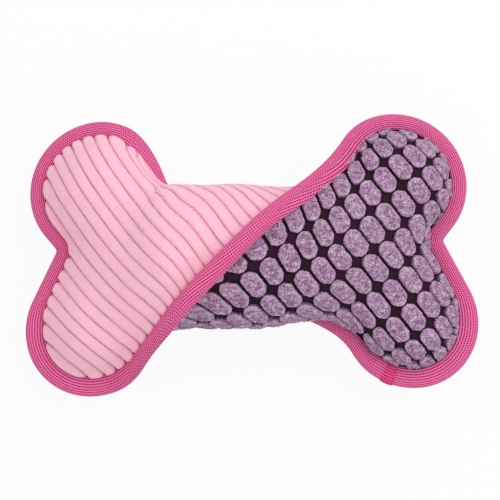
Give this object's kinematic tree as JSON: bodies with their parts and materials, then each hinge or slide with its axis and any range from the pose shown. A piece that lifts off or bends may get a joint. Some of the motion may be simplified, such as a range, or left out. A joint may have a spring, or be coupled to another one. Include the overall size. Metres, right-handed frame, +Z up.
{
  "type": "squeaky dog toy",
  "caption": "Stuffed bone with a half-turn twist at its waist, sewn from corduroy and pile-block fabric with a bound edge, and a bellows squeaker with a reed inside.",
  "frame": {"origin": "on the floor, under the middle of the toy's bounding box", "axes": "+X along the bone from the corduroy end to the block end, +Z up, the way the pictured side faces"},
  "size_m": [0.2396, 0.1453, 0.0845],
  "materials": {
    "corduroy": "soft wide-wale corduroy, pale pink",
    "pile_blocks": "cut-pile blocks, dusty purple on a black ground",
    "woven_tape": "ribbed woven tape, hot pink",
    "fibre_fill": "loose white polyester fibre",
    "bladder": "soft milky polyethylene",
    "whistle": "hard white plastic",
    "reed_film": "thin springy plastic film"
  },
  "bodies": {
    "toy": {"corduroy_panel": "corduroy", "block_panel": "pile_blocks", "binding_tape": "woven_tape", "left_fill": "fibre_fill", "right_fill": "fibre_fill", "squeaker_base": "bladder", "squeaker_bellows": "bladder", "whistle_barrel": "whistle", "reed_carrier": "whistle", "reed_clamp": "whistle"},
    "crown": {"squeaker_crown": "bladder"},
    "reed": {"reed": "reed_film"}
  },
  "joints": [
    {"name": "squeeze", "type": "slide", "parent": "toy", "child": "crown", "axis": [0, 0, -1], "range_m": [0, 0.011], "stiffness_N_per_m": 400, "deforming": ["squeaker_bellows"]},
    {"name": "reed_flutter", "type": "hinge", "parent": "toy", "child": "reed", "pos_m": [-0.00875, 0, 0.03165], "axis": [-1, 0, 0], "range_deg": [-2, 8], "stiffness_Nm_per_rad": 0.0004}
  ]
}
